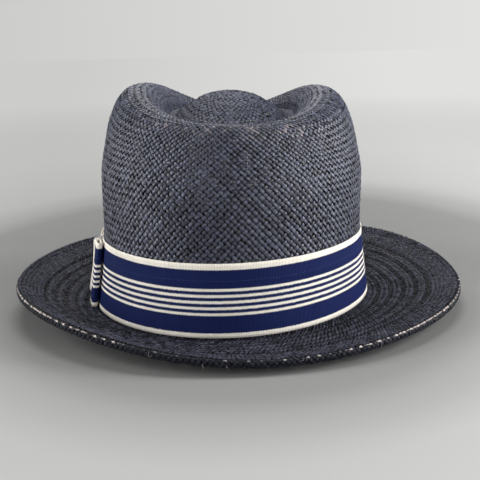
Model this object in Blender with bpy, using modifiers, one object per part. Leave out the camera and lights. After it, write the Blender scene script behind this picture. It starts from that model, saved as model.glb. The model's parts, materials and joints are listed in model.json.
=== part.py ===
"""Woven straw fedora: a straw crown and brim with a grosgrain ribbon, a flat side bow and a leather sweatband.

The front of the hat faces -Y and its back +Y, the bow is on the wearer's left at +X, and the hat stands on
Z = 0 on the tape at the foot of its sweatband. Metres throughout.
"""
import math

import bmesh
import bpy
import numpy as np

# Driving dimensions
HEAD_WIDTH = 0.1670            # inside the sweatband, ear to ear
HEAD_LENGTH = 0.2010           # inside the sweatband, front to back
CLEARANCE = 0.0003             # between pieces that touch
STRAW_THICKNESS = 0.0014
BRIM_WIDTH = 0.0538            # from the foot of the crown to the rim
RIM_WIDTH = 0.0030             # the rim's woven-back edge, seen from above
RIM_HEIGHT = 0.0044
RIM_PROUD = 0.0004             # how far the rim stands above the brim
RIBBON_WIDTH = 0.0406
RIBBON_THICKNESS = 0.0008
RIBBON_LIFT = 0.0016           # from the brim up to the ribbon's lower edge
SWEATBAND_THICKNESS = 0.0010
SWEATBAND_TOP = 0.0350
TAPE_WIDTH = 0.0019
TAPE_HEIGHT = 0.0015
STITCH_RADIUS = 0.00035
STITCH_HEIGHT = 0.0052

# The brim: how high it sits at the foot of the crown and at the rim, and how each wanders from level
FOOT_HEIGHT = 0.0031           # top of the brim at the foot of the crown
FOOT_SADDLE = 0.0010           # the sides sit higher and the ends lower by this much
FOOT_SKEW = 0.0012             # the wearer's right sits higher and the left lower by this much
RIM_RISE = 0.0170              # top of the brim at the rim
RIM_BACK_DIP = 0.0046
RIM_SADDLE = 0.0024
RIM_SKEW = 0.0030
RIM_TWIST = 0.0019
RIM_WAVE = 0.0015
BRIM_SAG = 0.42                # share of the rise that the brim has made half way out
BRIM_STEEPEST = 0.5            # slope at the rim, which sets the under side's edge outwards

# The crown: where its middle is over the brim's, and how it leans as it rises
CROWN_OFFSET = 0.0043
CROWN_LEAN = -0.024
CROWN_TILT = 0.042             # how much its top rises towards the wearer's left

# Rings of the crown above the ribbon. Each is an oval inset from the crown's foot at the side, back and front,
# with its height at the back, the side, the front quarter and the front.
CROWN_RINGS = (
    # side    back    front    back    side    quarter front
    (0.0045, 0.0075, 0.0080, 0.0800, 0.0835, 0.0835, 0.0810),   # middle of the wall
    (0.0069, 0.0110, 0.0115, 0.0942, 0.1000, 0.1000, 0.0957),   # top of the wall
    (0.0112, 0.0150, 0.0160, 0.1073, 0.1187, 0.1197, 0.1090),   # shoulder
    (0.0187, 0.0180, 0.0200, 0.1156, 0.1312, 0.1313, 0.1170),   # outside of the ridge
    (0.0315, 0.0227, 0.0250, 0.1178, 0.1346, 0.1328, 0.1185),   # the ridge
    (0.0415, 0.0300, 0.0310, 0.1142, 0.1277, 0.1266, 0.1158),   # inside of the ridge
    (0.0485, 0.0430, 0.0400, 0.1098, 0.1188, 0.1188, 0.1143),   # the crease round the teardrop
    (0.0570, 0.0590, 0.0540, 0.1162, 0.1226, 0.1231, 0.1216),   # flank of the teardrop
    (0.0700, 0.0780, 0.0740, 0.1262, 0.1301, 0.1306, 0.1291),   # shoulder of the teardrop
    (0.0862, 0.1032, 0.1032, 0.1340, 0.1340, 0.1340, 0.1340),   # middle of the teardrop
)
TOP_LEVELS = (5.0, 9.0)        # over these levels the crown's tilt and pinches come in
STATIONS = (1.0, 0.0, -0.6, -1.0)   # sines of the angles that the four heights belong to

# The two pinches at the front of the crown
PINCH_DEPTH = 0.0095
PINCH_ANGLE = math.radians(38)      # from the front centre line, each way
PINCH_SPREAD = math.radians(17)
PINCH_LEVEL = 8.6
PINCH_LEVEL_SPREAD = 1.3

# The side bow, measured along the ribbon from the bow's middle
BOW_REACH = 0.0330
BOW_START = 0.0003
BOW_PUFF = 0.0008              # how much further apart the two layers are beyond the knot
BOW_LAYER_GAP = 0.0005
BOW_GATHER = 0.11              # share of the ribbon's width lost at each edge under the knot
BOW_TRIM = 0.02                # the same at the bow's ends
KNOT_HALF_WIDTH = 0.0065
KNOT_CORNER = 0.0009

# The small bow at the back of the sweatband
LINING_BOW_REACH = 0.0150
LINING_BOW_WIDTH = 0.0080
LINING_BOW_HEIGHT = 0.0140     # of its middle
LINING_BOW_THICKNESS = 0.0005
LINING_BOW_PUFF = 0.0011
LINING_KNOT_HALF_WIDTH = 0.0026

# How finely the surfaces are divided
SEGMENTS = 64
LEVEL_STEPS = (2, 2, 1, 1, 1, 2, 2, 2, 2, 2, 2, 2, 2, 1, 1, 2)

# What follows from the sizes above
FOOT_HALF_WIDTH = HEAD_WIDTH / 2 + SWEATBAND_THICKNESS + CLEARANCE + STRAW_THICKNESS
FOOT_HALF_LENGTH = HEAD_LENGTH / 2 + SWEATBAND_THICKNESS + CLEARANCE + STRAW_THICKNESS
RIM_HALF_WIDTH = FOOT_HALF_WIDTH + BRIM_WIDTH
RIM_HALF_LENGTH = FOOT_HALF_LENGTH + BRIM_WIDTH
RIBBON_FOOT = 5                # level of the ribbon's lower edge
RIBBON_TOP = 6
RIBBON_TAPER = 0.0047          # inset of the crown at the ribbon's upper edge


def foot_height(angle):
    """Top of the brim where it meets the crown."""
    return FOOT_HEIGHT + FOOT_SADDLE * np.cos(2 * angle) - FOOT_SKEW * np.cos(angle)


def rim_height(angle):
    """Top of the brim at the rim."""
    return (RIM_RISE - RIM_BACK_DIP * np.sin(angle) + RIM_SADDLE * np.cos(2 * angle)
            + RIM_SKEW * np.cos(angle) + RIM_TWIST * np.sin(2 * angle) - RIM_WAVE * np.cos(4 * angle))


def height_curve(heights, angle):
    """The cubic in sin(angle) through a ring's four heights."""
    sine = np.sin(angle)
    total = 0 * sine
    for i, height in enumerate(heights):
        weight = 1
        for j, station in enumerate(STATIONS):
            if j != i:
                weight = weight * (sine - station) / (STATIONS[i] - station)
        total = total + height * weight
    return total


def oval(half_width, half_back, half_front, height, angle):
    half_length = np.where(np.sin(angle) > 0, half_back, half_front)
    return np.stack([half_width * np.cos(angle), half_length * np.sin(angle), height + 0 * angle], -1)


def control_rings(angle):
    """Points of the straw's upper surface on every control ring, from the rim to the middle of the crown."""
    foot, rim = foot_height(angle), rim_height(angle)
    edge_inset = RIM_WIDTH + CLEARANCE + STRAW_THICKNESS * BRIM_STEEPEST
    rings = []
    for share_out, share_up in ((1 - edge_inset / BRIM_WIDTH, 1.0), (0.5, BRIM_SAG), (0.16, 0.07)):
        reach = BRIM_WIDTH * share_out
        rings.append(oval(FOOT_HALF_WIDTH + reach, FOOT_HALF_LENGTH + reach, FOOT_HALF_LENGTH + reach,
                          foot + (rim - foot) * share_up, angle))
    for reach, lift in ((0.0030, 0.0), (0.0009, 0.0005), (0.0, RIBBON_LIFT),
                        (-RIBBON_TAPER, RIBBON_LIFT + RIBBON_WIDTH)):
        rings.append(oval(FOOT_HALF_WIDTH + reach, FOOT_HALF_LENGTH + reach, FOOT_HALF_LENGTH + reach,
                          foot + lift, angle))
    for side, back, front, *heights in CROWN_RINGS:
        rings.append(oval(FOOT_HALF_WIDTH - side, FOOT_HALF_LENGTH - back, FOOT_HALF_LENGTH - front,
                          height_curve(heights, angle), angle))
    rings = np.stack(rings, -2)
    # the crown sits off the brim's middle; the rim stays centred on the origin
    rings[..., 1, 0] += CROWN_OFFSET * 0.5
    rings[..., 2:, 0] += CROWN_OFFSET
    rings[..., RIBBON_TOP:, 0] += CROWN_LEAN * rings[..., RIBBON_TOP:, 2]
    return rings


def ring_knots():
    """Spacing of the control rings for the spline through them, from the side of the hat."""
    side = control_rings(np.zeros(1))[0]
    steps = np.sqrt(np.linalg.norm(np.diff(side, axis=0), axis=1))
    return np.concatenate([[0.0], np.cumsum(steps)])


KNOTS = ring_knots()


def smooth_step(value, start, end):
    share = np.clip((value - start) / (end - start), 0, 1)
    return share * share * (3 - 2 * share)


def straw_surface(angle, level):
    """Upper and outer surface of the straw, at an angle round the hat and a level from the rim (0) inwards."""
    angle, level = np.broadcast_arrays(np.asarray(angle, float), np.asarray(level, float))
    rings = control_rings(angle)
    last = len(KNOTS) - 1
    low = np.clip(np.floor(level).astype(int), 0, last - 1)
    share = level - low

    def ring(index):
        return np.take_along_axis(rings, np.clip(index, 0, last)[..., None, None], -2)[..., 0, :]

    def knot(index):
        return KNOTS[np.clip(index, 0, last)][..., None]

    def tangent(index):
        before, after = np.maximum(index - 1, 0), np.minimum(index + 1, last)
        return (ring(after) - ring(before)) / (knot(after) - knot(before))

    step = knot(low + 1) - knot(low)
    t = share[..., None]
    point = ((1 + 2 * t) * (1 - t) ** 2 * ring(low) + t * (1 - t) ** 2 * step * tangent(low)
             + t * t * (3 - 2 * t) * ring(low + 1) - t * t * (1 - t) * step * tangent(low + 1))
    top = smooth_step(level, *TOP_LEVELS)
    point[..., 2] += CROWN_TILT * top * point[..., 0]
    for side in (-1, 1):
        turn = np.angle(np.exp(1j * (angle + math.pi / 2 - side * PINCH_ANGLE)))
        push = PINCH_DEPTH * np.exp(-(turn / PINCH_SPREAD) ** 2
                                    - ((level - PINCH_LEVEL) / PINCH_LEVEL_SPREAD) ** 2)
        point[..., 0] -= push * np.cos(angle)
        point[..., 1] -= push * np.sin(angle)
    return point


def outward(angle):
    """Level direction away from the crown at an angle round it."""
    direction = np.stack([np.cos(angle) * FOOT_HALF_LENGTH, np.sin(angle) * FOOT_HALF_WIDTH, 0 * angle], -1)
    return direction / np.linalg.norm(direction, axis=-1, keepdims=True)


def wall_point(angle, share, depth):
    """Place by the crown's wall: share runs up the ribbon's width, depth is how far out from the straw."""
    return straw_surface(angle, RIBBON_FOOT + np.clip(share, 0, None)) + outward(angle) * np.asarray(depth)[..., None]


# ---------------------------------------------------------------------------------------------- objects

def clear_scene():
    for item in list(bpy.data.objects):
        bpy.data.objects.remove(item, do_unlink=True)
    for collection in list(bpy.data.collections):
        bpy.data.collections.remove(collection)


def material(name, color, roughness, metallic=0.0):
    item = bpy.data.materials.new(name)
    item.use_nodes = True
    shader = item.node_tree.nodes["Principled BSDF"]
    shader.inputs["Base Color"].default_value = (*color, 1)
    shader.inputs["Roughness"].default_value = roughness
    shader.inputs["Metallic"].default_value = metallic
    item.diffuse_color = (*color, 1)
    return item


def grid_object(name, points, finish, closed=False, end_point=None):
    """An object from rows of points: a sheet, or a tube where each row closes on itself."""
    rows, columns = points.shape[:2]
    sheet = bmesh.new()
    verts = [[sheet.verts.new(point) for point in row] for row in points.tolist()]
    for low, high in zip(verts, verts[1:]):
        for column in range(columns if closed else columns - 1):
            beside = (column + 1) % columns
            sheet.faces.new((low[column], low[beside], high[beside], high[column]))
    if end_point is not None:
        middle = sheet.verts.new(end_point)
        for column in range(columns):
            sheet.faces.new((verts[-1][column], verts[-1][(column + 1) % columns], middle))
    mesh = bpy.data.meshes.new(name)
    sheet.to_mesh(mesh)
    sheet.free()
    mesh.shade_smooth()
    mesh.materials.append(finish)
    item = bpy.data.objects.new(name, mesh)
    HAT.objects.link(item)
    return item


def thicken(item, thickness, offset):
    shell = item.modifiers.new("thickness", "SOLIDIFY")
    shell.thickness = thickness
    shell.offset = offset
    shell.use_even_offset = True
    return item


def ring_solid(name, sections, finish):
    """A ring swept round the hat: for each angle a closed row of section points, anticlockwise going outwards."""
    looped = np.concatenate([sections, sections[:1]])[:, ::-1]
    item = grid_object(name, looped, finish, closed=True)
    weld = item.modifiers.new("close the ring", "WELD")
    weld.merge_threshold = 0.00001
    return item


def angles(count=SEGMENTS):
    return np.arange(count) * (2 * math.pi / count)


# ---------------------------------------------------------------------------------------------- pieces

def make_straw_body(finish):
    """Crown and brim, woven in one: an open surface with the straw's thickness on its under side."""
    levels = []
    for index, steps in enumerate(LEVEL_STEPS):
        levels.extend(index + step / steps for step in range(steps))
    rings = np.stack([straw_surface(angles(), level) for level in levels])
    middle = straw_surface(0.0, len(LEVEL_STEPS))
    body = grid_object("straw_body", rings, finish, closed=True, end_point=middle)
    return thicken(body, STRAW_THICKNESS, -1)


def make_rim_edge(finish):
    """The woven-back edge: a rounded ring that stands a little above the brim and turns down below it."""
    turn = np.linspace(0, 2 * math.pi, 10, endpoint=False)
    across = np.sign(np.cos(turn)) * np.abs(np.cos(turn)) ** 0.7 * RIM_WIDTH / 2
    upward = np.sign(np.sin(turn)) * np.abs(np.sin(turn)) ** 0.7 * RIM_HEIGHT / 2
    round_hat = angles()[:, None]
    reach = BRIM_WIDTH - RIM_WIDTH / 2 + across[None, :] + 0 * round_hat
    height = rim_height(round_hat) + RIM_PROUD - RIM_HEIGHT / 2 + upward[None, :]
    sections = oval(FOOT_HALF_WIDTH + reach, FOOT_HALF_LENGTH + reach, FOOT_HALF_LENGTH + reach,
                    height, round_hat + 0 * reach)
    return ring_solid("rim_edge", sections, finish)


def make_ribbon_band(finish):
    """Grosgrain ribbon round the foot of the crown."""
    shares = np.linspace(0, 1, 5)
    rows = np.stack([wall_point(angles(), share, np.full(SEGMENTS, CLEARANCE)) for share in shares])
    return thicken(grid_object("ribbon_band", rows, finish, closed=True), RIBBON_THICKNESS, 1)


BAND_DEPTH = CLEARANCE + RIBBON_THICKNESS                 # outside of the ribbon
KNOT_BACK = BAND_DEPTH + CLEARANCE + RIBBON_THICKNESS / 2     # middle of the knot's inner layer
LAYER_IN = KNOT_BACK + RIBBON_THICKNESS + CLEARANCE       # middle of the bow's inner layer
LAYER_OUT = LAYER_IN + RIBBON_THICKNESS + BOW_LAYER_GAP   # middle of the bow's outer layer
KNOT_FRONT = LAYER_OUT + RIBBON_THICKNESS + CLEARANCE     # middle of the knot's outer layer


def bow_angle(along):
    """Angle round the crown at a distance along the ribbon from the middle of the bow."""
    return along / FOOT_HALF_LENGTH


def bow_loop_path(steps=7, fold_steps=5):
    """Distance along and depth of one loop: out along its outer layer, round its fold and back."""
    free_from = KNOT_HALF_WIDTH + CLEARANCE
    along = np.concatenate([[BOW_START], np.linspace(free_from, BOW_REACH, steps)])
    puff = smooth_step(along, free_from, KNOT_HALF_WIDTH * 2.6)
    outer = LAYER_OUT + BOW_PUFF * puff
    inner = LAYER_IN - BOW_PUFF * puff * 0.7
    radius = (outer[-1] - inner[-1]) / 2
    turn = np.linspace(math.pi / 2, -math.pi / 2, fold_steps + 2)[1:-1]
    fold_along = along[-1] + radius * np.cos(turn)
    fold_depth = (outer[-1] + inner[-1]) / 2 + radius * np.sin(turn)
    return (np.concatenate([along, fold_along, along[::-1]]),
            np.concatenate([outer, fold_depth, inner[::-1]]))


def make_bow_loop(name, side, finish):
    """One loop of the side bow, gathered under the knot."""
    along, depth = bow_loop_path()
    trim = BOW_GATHER + (BOW_TRIM - BOW_GATHER) * smooth_step(along, KNOT_HALF_WIDTH, BOW_REACH * 0.6)
    rows = []
    for share in np.linspace(0, 1, 4):
        height_share = trim + (1 - 2 * trim) * share
        rows.append(wall_point(bow_angle(side * along), height_share, depth))
    rows = np.stack(rows)
    if side > 0:
        rows = rows[:, ::-1]
    return thicken(grid_object(name, rows, finish), RIBBON_THICKNESS, 0)


def rounded_loop(half_depth, half_height, corner, corner_steps=3):
    """A closed upright rectangle with rounded corners, centred on zero."""
    points = []
    for quarter in range(4):
        sign_d = (1, -1, -1, 1)[quarter]
        sign_h = (1, 1, -1, -1)[quarter]
        for step in range(corner_steps + 1):
            turn = math.pi / 2 * (quarter + step / corner_steps)
            points.append((sign_d * (half_depth - corner) + corner * math.cos(turn),
                           sign_h * (half_height - corner) + corner * math.sin(turn)))
    return np.array(points)


def make_bow_knot(finish):
    """The wrap round the middle of the bow, a closed loop of ribbon."""
    gathered = RIBBON_WIDTH * (1 - 2 * BOW_GATHER)
    half_height = gathered / 2 + CLEARANCE + RIBBON_THICKNESS / 2
    loop = rounded_loop((KNOT_FRONT - KNOT_BACK) / 2, half_height, KNOT_CORNER)
    depth = loop[:, 0] + (KNOT_FRONT + KNOT_BACK) / 2
    share = 0.5 + loop[:, 1] / RIBBON_WIDTH
    rows = np.stack([wall_point(np.full(len(loop), bow_angle(along)), share, depth)
                     for along in np.linspace(-KNOT_HALF_WIDTH, KNOT_HALF_WIDTH, 4)])
    return thicken(grid_object("bow_knot", rows, finish, closed=True), RIBBON_THICKNESS, 0)


def lining_point(angle, height, depth):
    """Place by the sweatband's outer face at a height above the ground, depth inwards from it."""
    foot = wall_point(angle, np.zeros_like(angle), np.zeros_like(angle))
    head = wall_point(angle, np.full_like(angle, 0.8), np.zeros_like(angle))
    share = (height - foot[..., 2]) / (head[..., 2] - foot[..., 2])
    inset = STRAW_THICKNESS + CLEARANCE + np.asarray(depth)
    return foot + (head - foot) * share[..., None] - outward(angle) * inset[..., None]


def make_sweatband(finish):
    """Leather strip standing inside the foot of the crown."""
    bottom = TAPE_HEIGHT + CLEARANCE
    rows = np.stack([lining_point(angles(), np.full(SEGMENTS, height), np.zeros(SEGMENTS))
                     for height in np.linspace(SWEATBAND_TOP, bottom, 4)])
    return thicken(grid_object("sweatband", rows, finish, closed=True), SWEATBAND_THICKNESS, 1)


def make_sweatband_tape(finish):
    """Flat-bottomed reed tape under the sweatband, which the hat stands on."""
    foot = lining_point(angles(), np.full(SEGMENTS, TAPE_HEIGHT), np.full(SEGMENTS, SWEATBAND_THICKNESS))
    corners = []
    for out, height in ((0, 0), (TAPE_WIDTH, 0), (TAPE_WIDTH, TAPE_HEIGHT), (0, TAPE_HEIGHT)):
        corner = foot + outward(angles()) * out
        corner[:, 2] = height
        corners.append(corner)
    return ring_solid("sweatband_tape", np.stack(corners, 1), finish)


def make_sweatband_stitching(finish):
    """Thread that holds the sweatband, lying along the foot of its inner face."""
    middle = lining_point(angles(), np.full(SEGMENTS, STITCH_HEIGHT),
                          np.full(SEGMENTS, SWEATBAND_THICKNESS + CLEARANCE + STITCH_RADIUS))
    turn = np.linspace(0, 2 * math.pi, 6, endpoint=False)
    sections = (middle[:, None, :] + outward(angles())[:, None, :] * STITCH_RADIUS * np.cos(turn)[None, :, None])
    sections[..., 2] += STITCH_RADIUS * np.sin(turn)[None, :]
    return ring_solid("sweatband_stitching", sections, finish)


def make_lining_bow(finish):
    """Small flat bow at the back of the sweatband: one long loop, drawn in under its knot."""
    layer = SWEATBAND_THICKNESS + 3 * CLEARANCE + LINING_BOW_THICKNESS * 2
    turn = np.linspace(0, 2 * math.pi, 24, endpoint=False)
    along = LINING_BOW_REACH * np.cos(turn)
    puff = LINING_BOW_THICKNESS * 1.1 + (LINING_BOW_PUFF - LINING_BOW_THICKNESS) * np.abs(np.cos(turn))
    depth = layer + LINING_BOW_PUFF + np.sign(np.sin(turn)) * np.abs(np.sin(turn)) ** 0.5 * puff
    place = math.pi / 2 + along / FOOT_HALF_WIDTH
    rows = np.stack([lining_point(place, np.full(len(turn), LINING_BOW_HEIGHT + lift), depth)
                     for lift in np.linspace(-LINING_BOW_WIDTH / 2, LINING_BOW_WIDTH / 2, 3)])
    return thicken(grid_object("sweatband_bow", rows[:, ::-1], finish, closed=True), LINING_BOW_THICKNESS, 0)


def make_lining_knot(finish):
    """Wrap round the middle of the sweatband's bow."""
    layer = SWEATBAND_THICKNESS + 3 * CLEARANCE + LINING_BOW_THICKNESS * 2 + LINING_BOW_PUFF
    half_depth = LINING_BOW_THICKNESS * 2.1 + CLEARANCE
    half_height = LINING_BOW_WIDTH / 2 + CLEARANCE + LINING_BOW_THICKNESS
    loop = rounded_loop(half_depth, half_height, LINING_BOW_THICKNESS)
    rows = []
    for along in np.linspace(-LINING_KNOT_HALF_WIDTH, LINING_KNOT_HALF_WIDTH, 3):
        place = np.full(len(loop), math.pi / 2 + along / FOOT_HALF_WIDTH)
        rows.append(lining_point(place, LINING_BOW_HEIGHT + loop[:, 1], layer + loop[:, 0]))
    return thicken(grid_object("sweatband_bow_knot", np.stack(rows), finish, closed=True),
                   LINING_BOW_THICKNESS, 0)


clear_scene()
HAT = bpy.data.collections.new("fedora_hat")
bpy.context.scene.collection.children.link(HAT)

make_straw_body(material("straw", (0.045, 0.055, 0.085), 0.5))
make_rim_edge(material("straw_edge", (0.035, 0.040, 0.060), 0.6))
make_ribbon_band(material("ribbon", (0.020, 0.035, 0.120), 0.7))
make_bow_loop("bow_back_loop", 1, material("bow_back", (0.020, 0.035, 0.120), 0.7))
make_bow_loop("bow_front_loop", -1, material("bow_front", (0.020, 0.035, 0.120), 0.7))
make_bow_knot(material("knot", (0.800, 0.760, 0.680), 0.7))
make_sweatband(material("leather", (0.050, 0.030, 0.020), 0.45))
make_sweatband_tape(material("tape", (0.030, 0.030, 0.035), 0.7))
make_sweatband_stitching(material("thread", (0.700, 0.660, 0.580), 0.7))
make_lining_bow(material("lining_ribbon", (0.020, 0.030, 0.080), 0.5))
make_lining_knot(material("lining_knot", (0.020, 0.030, 0.080), 0.5))
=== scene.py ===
import json
import math

import bpy
import numpy as np
from mathutils import Matrix, Vector

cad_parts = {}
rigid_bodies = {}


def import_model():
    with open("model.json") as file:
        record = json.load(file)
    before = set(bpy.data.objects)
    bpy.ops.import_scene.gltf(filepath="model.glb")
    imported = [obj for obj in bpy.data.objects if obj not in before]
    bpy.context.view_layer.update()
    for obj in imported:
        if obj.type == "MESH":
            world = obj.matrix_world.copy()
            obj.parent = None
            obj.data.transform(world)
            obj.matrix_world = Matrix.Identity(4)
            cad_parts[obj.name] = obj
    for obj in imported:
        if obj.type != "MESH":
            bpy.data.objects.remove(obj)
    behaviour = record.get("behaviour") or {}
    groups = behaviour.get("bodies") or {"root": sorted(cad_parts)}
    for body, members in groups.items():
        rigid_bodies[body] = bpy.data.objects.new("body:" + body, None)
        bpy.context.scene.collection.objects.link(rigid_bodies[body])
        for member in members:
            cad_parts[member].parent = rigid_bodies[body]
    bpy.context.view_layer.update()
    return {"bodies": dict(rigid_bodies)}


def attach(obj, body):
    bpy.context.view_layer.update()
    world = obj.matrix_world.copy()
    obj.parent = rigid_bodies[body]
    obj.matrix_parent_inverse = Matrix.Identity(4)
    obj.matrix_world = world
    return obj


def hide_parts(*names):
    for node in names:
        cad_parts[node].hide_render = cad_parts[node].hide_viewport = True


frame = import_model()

MM = 0.001

# Sizes that the CAD part has
HEAD_WIDTH = 0.1670
HEAD_LENGTH = 0.2010
CLEARANCE = 0.0003
STRAW_THICKNESS = 0.0014
BRIM_WIDTH = 0.0538
RIM_WIDTH = 0.0030
RIM_HEIGHT = 0.0044
RIM_PROUD = 0.0004
RIBBON_WIDTH = 0.0406
RIBBON_THICKNESS = 0.0008
RIBBON_LIFT = 0.0016
SWEATBAND_THICKNESS = 0.0010
SWEATBAND_TOP = 0.0350
TAPE_WIDTH = 0.0019
TAPE_HEIGHT = 0.0015
STITCH_RADIUS = 0.00035
STITCH_HEIGHT = 0.0052
FOOT_HEIGHT = 0.0031
FOOT_SADDLE = 0.0010
FOOT_SKEW = 0.0012
RIM_RISE = 0.0170
RIM_BACK_DIP = 0.0046
RIM_SADDLE = 0.0024
RIM_SKEW = 0.0030
RIM_TWIST = 0.0019
RIM_WAVE = 0.0015
BRIM_SAG = 0.42
BRIM_STEEPEST = 0.5
CROWN_OFFSET = 0.0043
CROWN_LEAN = -0.024
CROWN_TILT = 0.042
CROWN_RINGS = (
    # side    back    front    back    side    quarter front
    (0.0045, 0.0075, 0.0080, 0.0800, 0.0835, 0.0835, 0.0810),
    (0.0069, 0.0110, 0.0115, 0.0942, 0.1000, 0.1000, 0.0957),
    (0.0112, 0.0150, 0.0160, 0.1073, 0.1187, 0.1197, 0.1090),
    (0.0187, 0.0180, 0.0200, 0.1156, 0.1312, 0.1313, 0.1170),
    (0.0315, 0.0227, 0.0250, 0.1178, 0.1346, 0.1328, 0.1185),
    (0.0415, 0.0300, 0.0310, 0.1142, 0.1277, 0.1266, 0.1158),
    (0.0485, 0.0430, 0.0400, 0.1098, 0.1188, 0.1188, 0.1143),
    (0.0570, 0.0590, 0.0540, 0.1162, 0.1226, 0.1231, 0.1216),
    (0.0700, 0.0780, 0.0740, 0.1262, 0.1301, 0.1306, 0.1291),
    (0.0862, 0.1032, 0.1032, 0.1340, 0.1340, 0.1340, 0.1340),
)
TOP_LEVELS = (5.0, 9.0)
STATIONS = (1.0, 0.0, -0.6, -1.0)
PINCH_DEPTH = 0.0095
PINCH_ANGLE = math.radians(38)
PINCH_SPREAD = math.radians(17)
PINCH_LEVEL = 8.6
PINCH_LEVEL_SPREAD = 1.3
BOW_REACH = 0.0330
BOW_START = 0.0003
BOW_PUFF = 0.0008
BOW_LAYER_GAP = 0.0005
BOW_GATHER = 0.11
BOW_TRIM = 0.02
KNOT_HALF_WIDTH = 0.0065
LINING_BOW_REACH = 0.0150
LINING_BOW_WIDTH = 0.0080
LINING_BOW_HEIGHT = 0.0140
LINING_BOW_THICKNESS = 0.0005
LINING_BOW_PUFF = 0.0011
LINING_KNOT_HALF_WIDTH = 0.0026

FOOT_HALF_WIDTH = HEAD_WIDTH / 2 + SWEATBAND_THICKNESS + CLEARANCE + STRAW_THICKNESS
FOOT_HALF_LENGTH = HEAD_LENGTH / 2 + SWEATBAND_THICKNESS + CLEARANCE + STRAW_THICKNESS
RIBBON_FOOT = 5
RIBBON_TOP = 6
RIBBON_TAPER = 0.0047
BAND_DEPTH = CLEARANCE + RIBBON_THICKNESS
KNOT_BACK = BAND_DEPTH + CLEARANCE + RIBBON_THICKNESS / 2
LAYER_IN = KNOT_BACK + RIBBON_THICKNESS + CLEARANCE
LAYER_OUT = LAYER_IN + RIBBON_THICKNESS + BOW_LAYER_GAP
KNOT_FRONT = LAYER_OUT + RIBBON_THICKNESS + CLEARANCE

UP = np.array([0.0, 0.0, 1.0])


def unit(vectors):
    return vectors / np.maximum(np.linalg.norm(vectors, axis=-1, keepdims=True), 1e-12)


def full_turn(count):
    """So many angles, evenly spaced round a full turn."""
    return np.arange(count) * (math.tau / count)


def squared_circle(turn, power):
    """Cosine and sine of turn, pushed out towards a square's corners by a power under 1."""
    return [np.sign(wave) * np.abs(wave) ** power for wave in (np.cos(turn), np.sin(turn))]


def run_along(line):
    """How far each point of a line is from its first one, along it."""
    steps = np.linalg.norm(np.diff(line, axis=-2), axis=-1)
    return np.concatenate([0 * steps[..., :1], np.cumsum(steps, axis=-1)], -1)


def smooth_step(value, start, end):
    share = np.clip((value - start) / (end - start), 0, 1)
    return share * share * (3 - 2 * share)


def bell(value, middle, spread):
    """1 at the middle, falling smoothly to 0 on both sides of it."""
    return np.exp(-((value - middle) / spread) ** 2)


# ------------------------------ the camera

CAMERA_PLACE = (-0.0017, 0.6000, 0.1592)
CAMERA_PITCH = math.radians(11.5)
CAMERA_ROLL = math.radians(1.8)
CAMERA_LENS = 70.95            # mm, on a sensor 36 mm wide


def make_camera():
    """Behind the hat, looking at its back and slightly down."""
    ahead = Vector((0, -math.cos(CAMERA_PITCH), -math.sin(CAMERA_PITCH)))
    right = Vector((-1, 0, 0))
    up = right.cross(ahead)
    across = right * math.cos(CAMERA_ROLL) - up * math.sin(CAMERA_ROLL)
    upright = right * math.sin(CAMERA_ROLL) + up * math.cos(CAMERA_ROLL)
    axes = Matrix((across, upright, -ahead)).transposed()
    data = bpy.data.cameras.new("camera")
    data.lens = CAMERA_LENS
    data.sensor_width = 36
    camera = bpy.data.objects.new("camera", data)
    camera.matrix_world = Matrix.Translation(CAMERA_PLACE) @ axes.to_4x4()
    bpy.context.scene.collection.objects.link(camera)
    bpy.context.scene.camera = camera


make_camera()

# ------------------------------ the hat's surfaces


def foot_height(angle):
    """Top of the brim where it meets the crown."""
    return FOOT_HEIGHT + FOOT_SADDLE * np.cos(2 * angle) - FOOT_SKEW * np.cos(angle)


def rim_height(angle):
    """Top of the brim at the rim."""
    return (RIM_RISE - RIM_BACK_DIP * np.sin(angle) + RIM_SADDLE * np.cos(2 * angle)
            + RIM_SKEW * np.cos(angle) + RIM_TWIST * np.sin(2 * angle) - RIM_WAVE * np.cos(4 * angle))


def height_curve(heights, angle):
    """The cubic in sin(angle) through a ring's four heights."""
    sine = np.sin(angle)
    total = 0 * sine
    for i, height in enumerate(heights):
        weight = 1
        for j, station in enumerate(STATIONS):
            if j != i:
                weight = weight * (sine - station) / (STATIONS[i] - station)
        total = total + height * weight
    return total


def oval(half_width, half_back, half_front, height, angle):
    half_length = np.where(np.sin(angle) > 0, half_back, half_front)
    return np.stack([half_width * np.cos(angle), half_length * np.sin(angle), height + 0 * angle], -1)


def foot_ring(reach, height, angle):
    """The ring that lies so far out from the foot of the crown."""
    return oval(FOOT_HALF_WIDTH + reach, FOOT_HALF_LENGTH + reach, FOOT_HALF_LENGTH + reach, height, angle)


def control_rings(angle):
    """Points of the straw's upper surface on every control ring, from the rim to the middle of the crown."""
    foot, rim = foot_height(angle), rim_height(angle)
    edge_inset = RIM_WIDTH + CLEARANCE + STRAW_THICKNESS * BRIM_STEEPEST
    rings = []
    for share_out, share_up in ((1 - edge_inset / BRIM_WIDTH, 1.0), (0.5, BRIM_SAG), (0.16, 0.07)):
        rings.append(foot_ring(BRIM_WIDTH * share_out, foot + (rim - foot) * share_up, angle))
    for reach, lift in ((0.0030, 0.0), (0.0009, 0.0005), (0.0, RIBBON_LIFT),
                        (-RIBBON_TAPER, RIBBON_LIFT + RIBBON_WIDTH)):
        rings.append(foot_ring(reach, foot + lift, angle))
    for side, back, front, *heights in CROWN_RINGS:
        rings.append(oval(FOOT_HALF_WIDTH - side, FOOT_HALF_LENGTH - back, FOOT_HALF_LENGTH - front,
                          height_curve(heights, angle), angle))
    rings = np.stack(rings, -2)
    rings[..., 1, 0] += CROWN_OFFSET * 0.5
    rings[..., 2:, 0] += CROWN_OFFSET
    rings[..., RIBBON_TOP:, 0] += CROWN_LEAN * rings[..., RIBBON_TOP:, 2]
    return rings


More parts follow.
